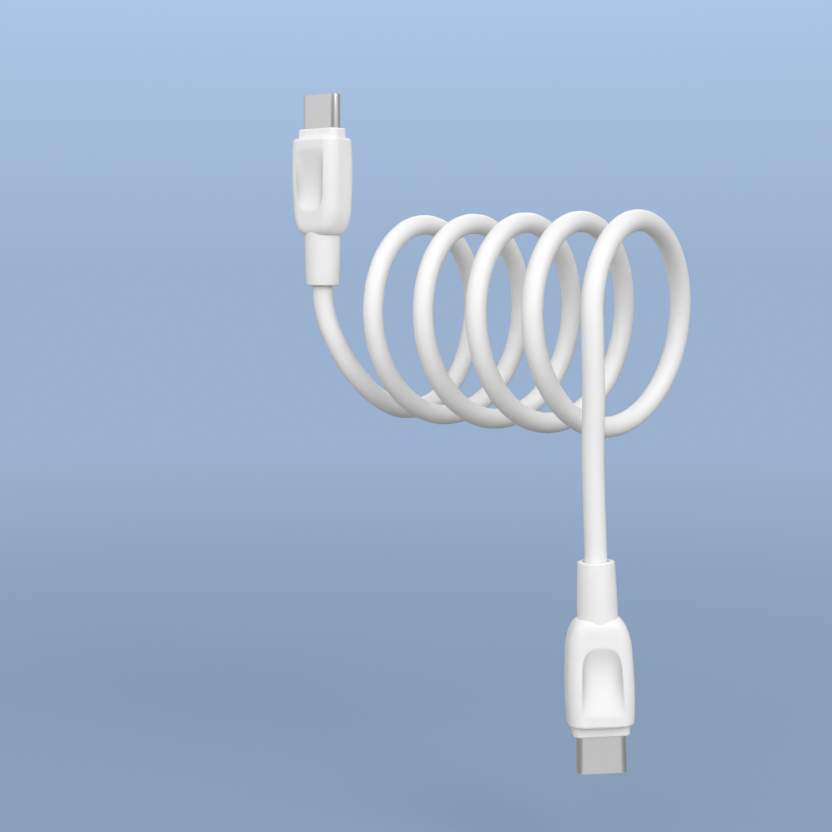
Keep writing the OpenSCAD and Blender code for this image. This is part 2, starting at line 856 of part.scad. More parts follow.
module card_parts() {
    color("dimgray") {
        card_part([0, 0], [chip_side, chip_side, chip_h]);
        for (middle = upper_small_parts)
            card_part(middle, [small_part_w, small_part_len, small_part_h]);
        mirror([0, 1, 0])
            for (middle = lower_small_parts)
                card_part(middle, [small_part_len, small_part_w, small_part_h]);
    }
}

// ---- Shield can ----

// The half above the mid plane: a channel that steps down where it grips the plug shell.
module can_half() {
    neck_z = shell_rear_z + (can_front_z - shell_rear_z) * can_neck_share;
    neck_out_t = can_neck_t + 2 * can_wall;
    intersection() {
        difference() {
            union() {
                rounded_bar(can_w, can_t, can_corner_r, can_rear_z, neck_z);
                rounded_bar(can_w, neck_out_t, can_corner_r, neck_z - eps, can_front_z);
            }
            rounded_bar(
                can_in_w, can_in_t, can_corner_r - can_wall / 2,
                can_rear_z - 1, neck_z - can_wall
            );
            oval_bar(can_in_w, can_neck_t, can_rear_z, can_front_z + 1);
        }
        block([-can_w, can_seam / 2, can_rear_z - 1], [can_w, can_w, can_front_z + 1]);
    }
}

module shield_can_top() {
    color("lightgray")
        can_half();
}

module shield_can_bottom() {
    color("lightgray")
        mirror([0, 1, 0])
            can_half();
}

// ---- Cord end, braid, crimp sleeve and wires ----

module cord_end() {
    color("white")
        cylinder(d = cord_d, h = jacket_end_z);
}

module shield_braid() {
    color("darkgray")
        translate([0, 0, jacket_end_z])
            cylinder(d = braid_d, h = braid_len);
}

module crimp_sleeve() {
    inset = braid_len * crimp_inset_share;
    color("peru")
        translate([0, 0, jacket_end_z + inset])
            difference() {
                cylinder(d = braid_d + 2 * push_gap + 2 * crimp_wall, h = braid_len - 2 * inset);
                translate([0, 0, -1])
                    cylinder(d = braid_d + 2 * push_gap, h = braid_len + 2);
            }
}

// One wire: straight out of the braid, across, and straight up to the card.
module wire(start, end, d) {
    a = [start[0], start[1], braid_end_z];
    b = a + [0, 0, wire_lead];
    e = [end[0], end[1], wire_end_z];
    c = e - [0, 0, wire_lead];
    up = [0, 0, 1];
    across = unit(c - b);
    skin([
        tube_ring(a, up, wire_sides, d),
        tube_ring(b, unit(up + across), wire_sides, d),
        tube_ring(c, unit(up + across), wire_sides, d),
        tube_ring(e, up, wire_sides, d)
    ]);
}

module power_wire() {
    color("red")
        wire(power_start, power_end, power_wire_d);
}

module ground_wire() {
    color("black")
        wire(ground_start, ground_end, power_wire_d);
}

module config_wire() {
    color("royalblue")
        wire(config_start, config_end, signal_wire_d);
}

module data_plus_wire() {
    color("green")
        wire(data_plus_start, data_plus_end, signal_wire_d);
}

module data_minus_wire() {
    color("ivory")
        wire(data_minus_start, data_minus_end, signal_wire_d);
}

module wire_tips() {
    color("orange")
        for (p = wire_ends)
            translate([p[0], p[1], wire_end_z])
                cylinder(d = wire_tip_d, h = wire_tip_len);
}

// ---- Cord ----

// Point and way of the loops after a number of steps.
function loop_angle(step) = loop_start_angle + 360 * step / loop_steps;
function loop_point(step) =
    let (a = loop_angle(step))
    [loop_start_x + loop_pitch * step / loop_steps, -loop_r * sin(a), loop_r * cos(a)];
function loop_way(step) =
    let (
        a = loop_angle(step),
        around = 2 * PI * loop_r
    )
    unit([loop_pitch, -around * cos(a), -around * sin(a)]);

// Ways along a route: given at both ends, and between its neighbours elsewhere.
function route_way(route, i, first, last) =
    i == 0 ? first :
    i == len(route) - 1 ? last :
    unit(route[i + 1] - route[i - 1]);

loop_first = loop_point(0) - loop_way(0) * cord_d;
loop_last = loop_point(ring_total) + loop_way(ring_total) * cord_d;

module cord_run(route, first, last) {
    color("white")
        skin([
            for (i = [0:len(route) - 1])
            tube_ring(route[i], route_way(route, i, first, last), run_sides, cord_d)
        ]);
}

module cord_upper_run() {
    cord_run(concat([upper_exit], upper_route, [loop_first]), upper_exit_way, loop_way(0));
}

module cord_lower_run() {
    cord_run(
        concat([loop_last], lower_route, [lower_exit]), loop_way(ring_total), lower_exit_way
    );
}

module cord_coil() {
    color("white")
        skin(concat(
            [tube_ring(loop_first, loop_way(0), loop_sides, cord_d)],
            [for (i = [0:ring_total]) tube_ring(loop_point(i), loop_way(i), loop_sides, cord_d)],
            [tube_ring(loop_last, loop_way(ring_total), loop_sides, cord_d)]
        ));
}

// Least gap between two loops, over all pairs of points at least half a loop apart.
loop_gap = min([
    for (i = [0:ring_total])
    for (j = [i + loop_steps / 2:ring_total])
    norm(loop_point(i) - loop_point(j))
]) - cord_d;
echo(str("Least gap between the loops: ", loop_gap, " mm"));

// ---- Places ----

module at_end(end) {
    if (end == "upper")
        translate(upper_exit)
            rotate([0, 0, upper_plug_turn])
                children();
    else
        translate(lower_exit)
            rotate([0, 180 - lower_plug_lean, 0])
                rotate([0, 0, lower_plug_turn])
                    children();
}

for (end = ENDS)
    at_end(end) {
        cover();
        strain_relief();
        inner_mould();
        plug_shell();
        contact_housing();
        contacts();
        latch_plate();
        ground_springs();
        paddle_card();
        card_parts();
        shield_can_top();
        shield_can_bottom();
        crimp_sleeve();
        shield_braid();
        cord_end();
        power_wire();
        ground_wire();
        config_wire();
        data_plus_wire();
        data_minus_wire();
        wire_tips();
    }
cord_upper_run();
cord_coil();
cord_lower_run();
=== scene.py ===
import json
import math

import bpy
from mathutils import Matrix, Vector


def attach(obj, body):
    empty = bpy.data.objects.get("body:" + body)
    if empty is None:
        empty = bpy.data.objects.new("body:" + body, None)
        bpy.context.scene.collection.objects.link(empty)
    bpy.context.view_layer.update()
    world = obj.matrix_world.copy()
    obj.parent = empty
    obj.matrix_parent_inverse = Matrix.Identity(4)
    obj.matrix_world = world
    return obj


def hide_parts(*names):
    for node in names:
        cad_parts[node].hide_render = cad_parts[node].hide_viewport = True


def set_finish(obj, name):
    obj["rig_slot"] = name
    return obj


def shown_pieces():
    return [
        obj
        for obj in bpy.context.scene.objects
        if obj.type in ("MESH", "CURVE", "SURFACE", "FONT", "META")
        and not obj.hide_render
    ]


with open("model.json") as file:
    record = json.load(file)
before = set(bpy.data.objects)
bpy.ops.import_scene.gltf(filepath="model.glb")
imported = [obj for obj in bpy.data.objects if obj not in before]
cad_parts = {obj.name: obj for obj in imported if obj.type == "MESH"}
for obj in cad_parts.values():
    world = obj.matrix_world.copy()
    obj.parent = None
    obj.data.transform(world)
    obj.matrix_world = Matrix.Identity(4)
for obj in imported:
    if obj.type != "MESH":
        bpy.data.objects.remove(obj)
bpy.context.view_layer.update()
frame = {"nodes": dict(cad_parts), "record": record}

# A charging cable with the same flat plug on both ends, wound in open loops.
# Metres in the row's frame: the rod's axis is X, Z is up, both plugs lie on the -Y side.
# Plugs are modelled in millimetres along their own Z axis, from the sleeve's end to the tip,
# and are scaled to metres as they are put in their places.

MM = 0.001

# ---- Camera ----

CAMERA_PLACE = (0.17739, -0.22877, 0.01036)
CAMERA_AZIMUTH = 41.294
CAMERA_DOWN = 5.462
CAMERA_LENS = 68.417

camera_data = bpy.data.cameras.new("camera")
camera_data.lens = CAMERA_LENS
camera_data.sensor_width = 36
camera_data.clip_start = 0.01
camera_data.clip_end = 20
camera = bpy.data.objects.new("camera", camera_data)
camera.location = CAMERA_PLACE
camera.rotation_euler = (
    math.radians(90 - CAMERA_DOWN), 0, math.radians(CAMERA_AZIMUTH)
)
bpy.context.scene.collection.objects.link(camera)
bpy.context.scene.camera = camera

# ---- Cord ----

CORD_D = 3.7
LOOP_R = 17.9
LOOP_PITCH = 12.05
LOOP_STEPS = 24
LOOP_TURNS = 4.5
LOOP_START_ANGLE = -90
LOOP_START_X = -LOOP_PITCH * 4 / 2
UPPER_EXIT = Vector((-30.75, -18.1, 6.5))
LOWER_EXIT = Vector((31.3, -17.9, -37.8))
UPPER_ROUTE = [
    (-30.6, -17.9, 2.4),
    (-28.2, -16.8, -4.7),
    (-25.8, -13.6, -10.9),
    (-24.6, -7.5, -15.6),
    (-24.5, -0.6, -17.3),
    (-24.6, 7.0, -16.1),
    (-24.6, 13.7, -11.5),
]
LOWER_ROUTE = [
    (30.5, -17.9, -11.5),
    (30.45, -17.9, -19.5),
    (30.75, -17.9, -27.5),
    (31.1, -17.9, -34.0),
]


def loop_point(step):
    """A point on the loops: the angle is 0 at the top, 90 at the front and 270 at the back."""
    angle = math.radians(LOOP_START_ANGLE + 360 * step / LOOP_STEPS)
    return Vector((
        LOOP_START_X + LOOP_PITCH * step / LOOP_STEPS,
        -LOOP_R * math.sin(angle),
        LOOP_R * math.cos(angle),
    ))


def cord_points():
    """The cord's whole route, from the upper plug round the loops to the lower plug."""
    last = round(LOOP_TURNS * LOOP_STEPS)
    loops = [loop_point(step) for step in range(last + 1)]
    upper = [UPPER_EXIT] + [Vector(p) for p in UPPER_ROUTE]
    lower = [Vector(p) for p in LOWER_ROUTE] + [LOWER_EXIT]
    return upper + loops + lower


def make_cord(points, ways):
    """One round cord through the points. Its two ends leave along the given ways."""
    data = bpy.data.curves.new("cord", "CURVE")
    data.dimensions = "3D"
    data.resolution_u = 6
    data.bevel_depth = 1
    data.bevel_resolution = 6
    spline = data.splines.new("BEZIER")
    spline.bezier_points.add(len(points) - 1)
    for knot, place in zip(spline.bezier_points, points):
        knot.co = place * MM
        knot.radius = CORD_D / 2 * MM
        knot.handle_left_type = knot.handle_right_type = "AUTO"
    piece = bpy.data.objects.new("cord", data)
    bpy.context.scene.collection.objects.link(piece)
    for index, way in ways.items():
        knot = spline.bezier_points[index]
        reach = (points[1] - points[0] if index == 0 else points[-1] - points[-2]).length / 3
        knot.handle_left_type = knot.handle_right_type = "FREE"
        knot.handle_left = knot.co - Vector(way) * reach * MM
        knot.handle_right = knot.co + Vector(way) * reach * MM
    return piece


UPPER_WAY = (0, 0, -1)
LOWER_LEAN = math.radians(2.65)
LOWER_WAY = (math.sin(LOWER_LEAN), 0, -math.cos(LOWER_LEAN))
cord = make_cord(cord_points(), {0: UPPER_WAY, -1: LOWER_WAY})
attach(cord, "root")
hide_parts("cord_upper_run", "cord_coil", "cord_lower_run")
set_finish(cord, "cord_jacket")

# ---- Sizes of a plug, in millimetres along its own Z axis ----

CORNER_STEPS = 10
COVER_REAR = 9.3
COVER_LEN = 17.7
COVER_FRONT = COVER_REAR + COVER_LEN
COVER_W = 11.1
COVER_T = 7.3
COVER_CORNER = 2.3
SHOULDER_LEN = 6.0
SHOULDER_EASE = 1.4
SHOULDER_W = 6.9
SHOULDER_T = 5.2
FACE_ROUND_LEN = 1.9
SHOULDER_CORNER = 2.55
BELLY_RISE = 0.2
COVER_EDGE = 0.45
COVER_VOXEL = 0.12
SCOOP_W = 7.2
SCOOP_LEN = 11.5
SCOOP_DEPTH = 1.1
SCOOP_FRONT = COVER_FRONT - 1.9
SCOOP_REAR = SCOOP_FRONT - SCOOP_LEN
# The scoop's outline: its arched end, how square the arch is, and how much narrower the
# rear is than the front, as a share.
SCOOP_ARCH = 3.8
SCOOP_SQUARE = 2.6
SCOOP_FLARE = 0.14
# The scoop's floor: where it is deepest, as a share of its length, and powers that shape
# its rear, its front and its side walls.
SCOOP_DEEPEST = 0.42
SCOOP_REAR_POWERS = (2.2, 1.4)
SCOOP_FRONT_POWERS = (1.8, 1.25)
SCOOP_WALL_POWER = 4
SCOOP_STEEPEST = 1.2
NOSE_W = 9.4
NOSE_T = 4.2
NOSE_FRONT = COVER_FRONT + 1.8
NOSE_CORNER = 1.3
NOSE_EDGE = 0.35
RELIEF_END_R = 3.05
RELIEF_R = 3.3
RELIEF_TAPER = 7.0
RELIEF_SWELL = ((0.35, 3.16), (0.7, 3.255))
RELIEF_RIM = 0.3
RELIEF_SOCKET = 1.2
MOUTH_DEPTH = 1.2
FLANGE_LEN = 1.2
FLANGE_W = 7.8
FLANGE_T = 4.1
FLANGE_CORNER = 1.3
MOULD_REAR = COVER_REAR + RELIEF_SOCKET + FLANGE_LEN + 0.05
MOULD_REAR_TAPER = 1.2
MOULD_TAPER_LEN = 2.5
JACKET_END = MOULD_REAR + 0.5
TIP = NOSE_FRONT + 6.2
SHELL_W = 8.25
SHELL_T = 2.4
SHELL_WALL = 0.3
SHELL_REAR = NOSE_FRONT - 5.0
SHELL_HOLE_R = 0.4
CAN_FRONT = SHELL_REAR + 2.5
CAN_REAR = JACKET_END + 1.95 + 0.3
CAN_W = SHELL_W + 0.5
CAN_T = 3.2
CAN_CORNER = 0.5
CRIMP_R = 1.76
CRIMP_LEN = 2.95
PRESS_GAP = 0.02
PUSH_GAP = 0.05

# ---- Modelling tools ----


def deselect_all():
    if bpy.context.mode != "OBJECT":
        bpy.ops.object.mode_set(mode="OBJECT")
    bpy.ops.object.select_all(action="DESELECT")


def activate(piece):
    deselect_all()
    piece.select_set(True)
    bpy.context.view_layer.objects.active = piece


def new_mesh(name):
    """An empty mesh object, ready for primitives in edit mode."""
    deselect_all()
    bpy.ops.mesh.primitive_plane_add(size=1)
    piece = bpy.context.object
    piece.name = piece.data.name = name
    bpy.ops.object.mode_set(mode="EDIT")
    bpy.ops.mesh.select_all(action="SELECT")
    bpy.ops.mesh.delete(type="VERT")
    return piece


def add_round_section(z, radius, segments=64):
    bpy.ops.mesh.select_all(action="DESELECT")
    bpy.ops.mesh.primitive_circle_add(
        vertices=segments, radius=radius, fill_type="NOTHING", location=(0, 0, z)
    )


def add_flat_section(z, width, thickness, corner):
    """The edge of a rectangle with round corners, at a height."""
    bpy.ops.mesh.select_all(action="DESELECT")
    bpy.ops.mesh.primitive_plane_add(size=1, location=(0, 0, z))
    bpy.ops.transform.resize(value=(width, thickness, 1), center_override=(0, 0, z))
    bpy.ops.mesh.bevel(
        offset=min(corner, thickness / 2 * 0.999), segments=CORNER_STEPS, affect="VERTICES"
    )
    bpy.ops.mesh.delete(type="ONLY_FACE")


def bridge_sections(piece):
    """Joins all sections into one skin, and closes both ends."""
    bpy.ops.mesh.select_all(action="SELECT")
    bpy.ops.mesh.bridge_edge_loops(type="SINGLE")
    bpy.ops.mesh.select_all(action="DESELECT")
    bpy.ops.mesh.select_mode(type="EDGE")
    bpy.ops.mesh.select_non_manifold()
    bpy.ops.mesh.edge_face_add()
    bpy.ops.mesh.select_all(action="SELECT")
    bpy.ops.mesh.normals_make_consistent(inside=False)
    deselect_all()
    return piece


def flat_loft(name, sections):
    piece = new_mesh(name)
    for section in sections:
        add_flat_section(*section)
    return bridge_sections(piece)


def round_loft(name, sections, segments=64):
    piece = new_mesh(name)
    for z, radius in sections:
        add_round_section(z, radius, segments)
    return bridge_sections(piece)


def use_modifier(piece, kind, **settings):
    """Adds a modifier with its settings, and applies it."""
    modifier = piece.modifiers.new(kind.lower(), kind)
    for name, value in settings.items():
        setattr(modifier, name, value)
    activate(piece)
    bpy.ops.object.modifier_apply(modifier=modifier.name)
    deselect_all()


def cut(piece, *cutters):
    for cutter in cutters:
        use_modifier(piece, "BOOLEAN", operation="DIFFERENCE", object=cutter, solver="EXACT")
        bpy.data.objects.remove(cutter)


def fuse(piece, *others):
    for other in others:
        use_modifier(piece, "BOOLEAN", operation="UNION", object=other, solver="EXACT")
        bpy.data.objects.remove(other)


def round_edges(piece, width, segments, angle):
    use_modifier(
        piece, "BEVEL", width=width, segments=segments, limit_method="ANGLE",
        angle_limit=math.radians(angle), use_clamp_overlap=True,
    )


def shade(piece, angle):
    activate(piece)
    bpy.ops.object.shade_smooth_by_angle(angle=math.radians(angle))
    deselect_all()


def quarter(steps):
    """Sines and cosines of a quarter turn, in even steps, as (sine, cosine)."""
    angles = [math.pi / 2 * step / steps for step in range(steps + 1)]
    return [(math.sin(a), math.cos(a)) for a in angles]


# ---- Pieces of a plug ----


def belly_draw(z):
    """How far a side is drawn in at a height, from the belly to both ends."""
    shoulder = COVER_REAR + SHOULDER_LEN
    belly = COVER_FRONT - COVER_LEN / 3
    return BELLY_RISE * ((max(z, shoulder) - belly) / (belly - shoulder)) ** 2


def face_grown(z):
    """Growth of the broad faces at a height: they round off sooner than the sides."""
    rest = 1 - min((z - COVER_REAR) / FACE_ROUND_LEN, 1)
    return math.sqrt(1 - rest * rest)


def cover_section(z, grown, draw):
    """A section of the cover, with the shoulder grown from 0 to 1 and the edge drawn in."""
    full_w = COVER_W - 2 * belly_draw(z) - 2 * draw
    full_t = COVER_T - belly_draw(z) - 2 * draw
    return (
        z,
        SHOULDER_W + (full_w - SHOULDER_W) * grown,
        SHOULDER_T + (full_t - SHOULDER_T) * face_grown(z),
        SHOULDER_CORNER + (COVER_CORNER - SHOULDER_CORNER) * grown,
    )


def cover_sections():
    shoulder_end = COVER_REAR + SHOULDER_LEN
    edge = COVER_FRONT - COVER_EDGE
    body_steps = 6
    sections = [
        cover_section(COVER_REAR + SHOULDER_LEN * (1 - c), s ** SHOULDER_EASE, 0)
        for s, c in quarter(16)
    ]
    sections += [
        cover_section(shoulder_end + (edge - shoulder_end) * step / body_steps, 1, 0)
        for step in range(1, body_steps + 1)
    ]
    sections += [
        cover_section(edge + COVER_EDGE * s, 1, COVER_EDGE * (1 - c))
        for s, c in quarter(5)[1:]
    ]
    return sections


def scoop_share(x, z):
    """How deep the scoop is at a place on a broad face, as a share of its full depth.
    The sides drop straight from the rim and flatten inward. The arched end rolls over
    softly, and the floor rises to the face again at the front."""
    along = (z - SCOOP_REAR) / SCOOP_LEN
    if not 0 < along < 1:
        return 0
    behind = max(1 - (z - SCOOP_REAR) / SCOOP_ARCH, 0)
    half_w = SCOOP_W / 2 * (1 - SCOOP_FLARE * (1 - along))
    half_w *= (1 - behind ** SCOOP_SQUARE) ** (1 / SCOOP_SQUARE)
    across = abs(x) / half_w
    if across >= 1:
        return 0
    if along < SCOOP_DEEPEST:
        rise = 1 - along / SCOOP_DEEPEST
        inner, outer = SCOOP_REAR_POWERS
    else:
        rise = (along - SCOOP_DEEPEST) / (1 - SCOOP_DEEPEST)
        inner, outer = SCOOP_FRONT_POWERS
    return (1 - across ** SCOOP_WALL_POWER) * (1 - rise ** inner) ** outer


def press_scoop(cover, side):
    """Presses the scoop into one broad face, 1 for +Y and -1 for -Y."""
    group = cover.vertex_groups.new(name="scoop")
    for point in cover.data.vertices:
        share = scoop_share(point.co.x, point.co.z)
        if share and point.co.y * side > 0:
            group.add([point.index], share, "REPLACE")
    use_modifier(
        cover, "DISPLACE", direction="Y", mid_level=0, strength=-side * SCOOP_DEPTH,
        vertex_group=group.name,
    )
    cover.vertex_groups.clear()


def make_cover():
    """The white cover, with its scoops and the room inside it for the mould and the sleeve."""
    cover = flat_loft("cover", cover_sections())
    use_modifier(
        cover, "REMESH", mode="VOXEL", voxel_size=COVER_VOXEL, use_smooth_shade=True
    )
    use_modifier(cover, "SMOOTH", factor=0.5, iterations=6)
    press_scoop(cover, 1)
    press_scoop(cover, -1)
    use_modifier(cover, "SMOOTH", factor=0.5, iterations=2)
    cavity_w = NOSE_W + 2 * PUSH_GAP
    cavity_t = NOSE_T + 2 * PUSH_GAP
    cavity_corner = NOSE_CORNER + PUSH_GAP
    cavity = flat_loft("cavity", [
        (MOULD_REAR - PUSH_GAP, cavity_w - 2 * MOULD_REAR_TAPER, cavity_t, cavity_corner),
        (MOULD_REAR + MOULD_TAPER_LEN - PUSH_GAP, cavity_w, cavity_t, cavity_corner),
        (TIP, cavity_w, cavity_t, cavity_corner),
    ])
    pocket = flat_loft("pocket", [
        (z, FLANGE_W + 2 * PUSH_GAP, FLANGE_T + 2 * PUSH_GAP, FLANGE_CORNER + PUSH_GAP)
        for z in (COVER_REAR + RELIEF_SOCKET - 0.01, MOULD_REAR)
    ])
    socket = round_loft("socket", [
        (z, RELIEF_R + PRESS_GAP) for z in (COVER_REAR - 1, COVER_REAR + RELIEF_SOCKET)
    ])
    cut(cover, cavity, pocket, socket)
    shade(cover, 40)
    mark_walls(cover)
    return cover


def mark_walls(cover):
    """Keeps how steep a scoop's side walls are at each point, from 0 to 1 at their rim; the
    cover's material paints shade on the walls by it.
    """
    step = 0.05
    steep = cover.data.attributes.new("steep", "FLOAT", "POINT")
    for point, value in zip(cover.data.vertices, steep.data):
        x, y, z = point.co
        if abs(y) > NOSE_T / 2 + 0.1:
            across = scoop_share(x + step, z) - scoop_share(x - step, z)
            slope = abs(across) * SCOOP_DEPTH / (2 * step)
            value.value = min(slope / SCOOP_STEEPEST, 1)


def make_relief():
    """The strain relief: a sleeve with a soft rim and a mouth, and its flange in the cover."""
    bore_r = CORD_D / 2 + PRESS_GAP
    mouth_r = CORD_D / 2 + 0.3
    rim = [
        (RELIEF_RIM * (1 - c), RELIEF_END_R - RELIEF_RIM * (1 - s)) for s, c in quarter(6)
    ]
    swell = [(RELIEF_TAPER * share, radius) for share, radius in RELIEF_SWELL]
    sleeve = round_loft("sleeve", rim + swell + [
        (RELIEF_TAPER, RELIEF_R), (COVER_REAR + RELIEF_SOCKET, RELIEF_R),
    ], 96)
    flange = flat_loft("flange", [
        (z, FLANGE_W, FLANGE_T, FLANGE_CORNER)
        for z in (COVER_REAR + RELIEF_SOCKET - 0.3, MOULD_REAR - PUSH_GAP)
    ])
    fuse(sleeve, flange)
    bore = round_loft("bore", [(-1, bore_r), (MOULD_REAR + 1, bore_r)], 96)
    mouth = round_loft("mouth", [
        (-1, mouth_r + 0.1), (0, mouth_r + 0.1), (0.12, mouth_r), (MOUTH_DEPTH, mouth_r),
    ], 96)
    cut(sleeve, bore, mouth)
    shade(sleeve, 35)
    return sleeve


def make_mould():
    """The inner mould, whose front is the nose, with room for what it holds."""
    edge = NOSE_FRONT - NOSE_EDGE
    sections = [
        (MOULD_REAR, NOSE_W - 2 * MOULD_REAR_TAPER, NOSE_T, NOSE_CORNER),
        (MOULD_REAR + MOULD_TAPER_LEN, NOSE_W, NOSE_T, NOSE_CORNER),
    ]
    sections += [
        (
            edge + NOSE_EDGE * s,
            NOSE_W - 2 * NOSE_EDGE * (1 - c),
            NOSE_T - 2 * NOSE_EDGE * (1 - c),
            NOSE_CORNER - NOSE_EDGE * (1 - c),
        )
        for s, c in quarter(6)
    ]
    mould = flat_loft("mould", sections)
    shell_hole = flat_loft("shell_hole", [
        (z, SHELL_W + 2 * PRESS_GAP, SHELL_T + 2 * PRESS_GAP, SHELL_T / 2 + PRESS_GAP)
        for z in (CAN_FRONT, TIP)
    ])
    can_room = flat_loft("can_room", [
        (z, CAN_W + 2 * PRESS_GAP, CAN_T + 2 * PRESS_GAP, CAN_CORNER + PRESS_GAP)
        for z in (CAN_REAR - PUSH_GAP, CAN_FRONT + PUSH_GAP)
    ])
    crimp_room = round_loft("crimp_room", [
        (z, CRIMP_R + PRESS_GAP) for z in (JACKET_END, JACKET_END + CRIMP_LEN)
    ])
    jacket_hole = round_loft("jacket_hole", [
        (z, CORD_D / 2 + PRESS_GAP) for z in (MOULD_REAR - 1, JACKET_END + 0.1)
    ])
    cut(mould, shell_hole, can_room, crimp_room, jacket_hole)
    shade(mould, 35)
    return mould


def make_shell():
    """The oval metal shell, with a hole through both sides of each end of its grip."""
    shell = flat_loft("shell", [
        (z, SHELL_W, SHELL_T, SHELL_T / 2) for z in (SHELL_REAR, TIP)
    ])
    inner_w = SHELL_W - 2 * SHELL_WALL
    inner_t = SHELL_T - 2 * SHELL_WALL
    inside = flat_loft("inside", [
        (z, inner_w, inner_t, inner_t / 2) for z in (SHELL_REAR - 1, TIP + 1)
    ])
    cut(shell, inside)
    round_edges(shell, 0.08, 3, 60)
    for x in (-1, 1):
        hole = round_loft("hole", [(-2, SHELL_HOLE_R), (2, SHELL_HOLE_R)], 24)
        hole.data.transform(
            Matrix.Translation((x * SHELL_W / 4, 0, (CAN_FRONT + NOSE_FRONT) / 2))
            @ Matrix.Rotation(math.pi / 2, 4, "X")
        )
        cut(shell, hole)
    shade(shell, 30)
    return shell


# ---- Places ----

UPPER_TURN = math.radians(2)
LOWER_TURN = math.radians(-44)
PLACES = {
    "upper": Matrix.Translation(UPPER_EXIT) @ Matrix.Rotation(UPPER_TURN, 4, "Z"),
    "lower": (
        Matrix.Translation(LOWER_EXIT)
        @ Matrix.Rotation(math.pi - LOWER_LEAN, 4, "Y")
        @ Matrix.Rotation(LOWER_TURN, 4, "Z")
    ),
}


def put_in_place(model, part, node, slot):
    """One copy of a finished model on each plug. Each has its own mesh, in metres."""
    for end, place in PLACES.items():
        piece = bpy.data.objects.new(f"{end}_{part}", model.data.copy())
        piece.data.name = piece.name
        piece.data.transform(Matrix.Scale(MM, 4) @ place)
        piece.data.update()
        bpy.context.scene.collection.objects.link(piece)
        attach(piece, "root")
        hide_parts(f"{end}_{node}")
        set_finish(piece, slot)
    bpy.data.objects.remove(model)


put_in_place(make_cover(), "cover_form", "cover", "cover_plastic")
put_in_place(make_relief(), "sleeve", "strain_relief", "relief_plastic")
put_in_place(make_mould(), "nose_mould", "inner_mould", "mould_plastic")
put_in_place(make_shell(), "shell_form", "plug_shell", "shell_steel")

# ---- Materials ----


class Wire:
    """One socket of a material, which takes part in sums on values."""

    def __init__(self, recipe, socket):
        self.recipe, self.socket = recipe, socket

    def maths(self, operation, *values):
        return self.recipe.add("ShaderNodeMath", {"operation": operation}, *values)

    def __add__(self, other):
        return self.maths("ADD", self, other)

    def __mul__(self, other):
        return self.maths("MULTIPLY", self, other)

    __radd__ = __add__


class Recipe:
    """The nodes of one material, or of the world."""

    def __init__(self, owner):
        owner.use_nodes = True
        self.owner = owner
        self.tree = owner.node_tree

    def feed(self, socket, value):
        if isinstance(value, Wire):
            self.tree.links.new(value.socket, socket)
        else:
            socket.default_value = value

    def add(self, kind, settings, *values, **named):
        """Adds a node: its settings first, then its sockets' values or links, by place or name.
        The setting called output names the socket that is handed on."""
        node = self.tree.nodes.new(kind)
        output = settings.get("output", 0)
        for name, value in settings.items():
            if name == "stops":
                while len(node.color_ramp.elements) < len(value):
                    node.color_ramp.elements.new(1)
                for stop, (at, colour) in zip(node.color_ramp.elements, value):
                    stop.position, stop.color = at, colour
            elif name != "output":
                setattr(node, name, value)
        for index, value in enumerate(values):
            self.feed(node.inputs[index], value)
        for name, value in named.items():
            self.feed(node.inputs[name.replace("_", " ")], value)
        return Wire(self, node.outputs[output])

    def blend(self, share, a, b):
        """A colour from a to b by a share."""
        node = self.tree.nodes.new("ShaderNodeMix")
        node.data_type = "RGBA"
        self.feed(node.inputs[0], share)
        for socket, colour in zip((node.inputs[6], node.inputs[7]), (a, b)):
            self.feed(socket, colour if isinstance(colour, Wire) else (*colour, 1))
        return Wire(self, node.outputs[2])

    def bump(self, height, distance):
        return self.add("ShaderNodeBump", {}, Height=height, Distance=distance, Strength=1.0)


class Paint(Recipe):
    """A material with its shader, laid out by places on the piece."""

    def __init__(self, name):
        super().__init__(bpy.data.materials.new(name))
        self.shader = self.tree.nodes["Principled BSDF"]
        self.place = self.add("ShaderNodeTexCoord", {"output": "Object"})

    def set(self, **values):
        """Sets the shader's own sockets, and hands on the material."""
        for name, value in values.items():
            self.feed(self.shader.inputs[name.replace("_", " ")], value)
        return self.owner

    def noise(self, scale, detail=2.0, stretch=None):
        """Noise on the piece, with a size of about 1 / scale metres."""
        place = self.place
        if stretch:
            place = self.add("ShaderNodeMapping", {}, Vector=place, Scale=stretch)
        return self.add("ShaderNodeTexNoise", {}, Vector=place, Scale=scale, Detail=detail)


METAL_LINES = (3000, 3000, 120)
METAL_LINE_DEPTH = 0.000004


def moulded_plastic(name, dark, light, roughness, grain, depth, painted_wall_shade=None):
    """Moulded plastic: faint clouds of colour, a fine grain and an uneven sheen.
    Given a colour of painted shade, a scoop's steep side walls are darkened to it as painted
    shade, and take a duller sheen."""
    paint = Paint(name)
    clouds = paint.noise(260, 3)
    fine = paint.noise(grain, 2)
    colour = paint.blend(clouds, dark, light)
    sheen = roughness - 0.04 + clouds * 0.08
    if painted_wall_shade:
        steep = paint.add("ShaderNodeAttribute", {"attribute_name": "steep", "output": "Fac"})
        # Painted shade: a scoop's steep side walls are darkened in the base colour, where shade
        # would fall.
        colour = paint.blend(steep, colour, painted_wall_shade)
        sheen = sheen + steep * 0.2
    return paint.set(Base_Color=colour, Roughness=sheen, Normal=paint.bump(fine, depth))


def drawn_metal(name, dark, light, roughness):
    """Drawn metal: fine lines along the plug in colour, sheen and bump, and slow clouds in
    colour.
    """
    paint = Paint(name)
    lines = paint.noise(1, 3, METAL_LINES)
    clouds = paint.noise(500, 2)
    return paint.set(
        Base_Color=paint.blend(clouds * 0.6 + lines * 0.4, dark, light),
        Metallic=1.0,
        Roughness=roughness + lines * 0.1,
        Normal=paint.bump(lines, METAL_LINE_DEPTH),
    )


def grey(value):
    return (value, value, value)
